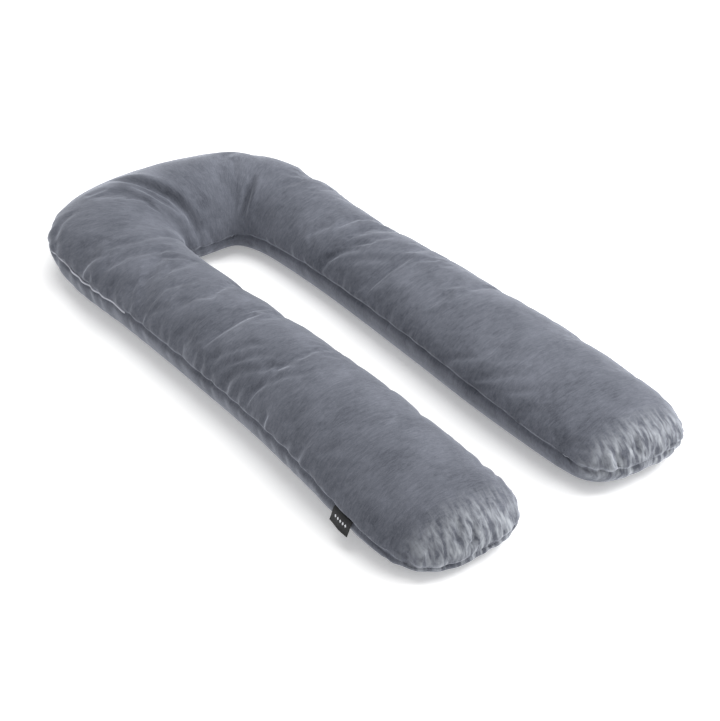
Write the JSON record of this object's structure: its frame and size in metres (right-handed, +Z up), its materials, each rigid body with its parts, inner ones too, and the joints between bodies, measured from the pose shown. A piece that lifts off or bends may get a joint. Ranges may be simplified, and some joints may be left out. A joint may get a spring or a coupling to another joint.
{
  "type": "pregnancy pillow",
  "caption": "Full-length U-shaped body pillow: two plump arms joined by a curved closed end, a seam round the edge of its two velour panels, and a label in the seam.",
  "frame": {"origin": "middle of the underside that lies on the floor or bed", "axes": "+Z up, +Y towards the closed end of the U, +X towards the arm without the label"},
  "size_m": [0.7231, 1.3716, 0.1621],
  "materials": {
    "velour": "short brushed pile, soft sheen",
    "zip nylon": "satin",
    "label ribbon": "woven, matte"
  },
  "bodies": {
    "root": {"pillow": "velour", "zip_coil": "zip nylon", "label": "label ribbon"}
  },
  "joints": []
}
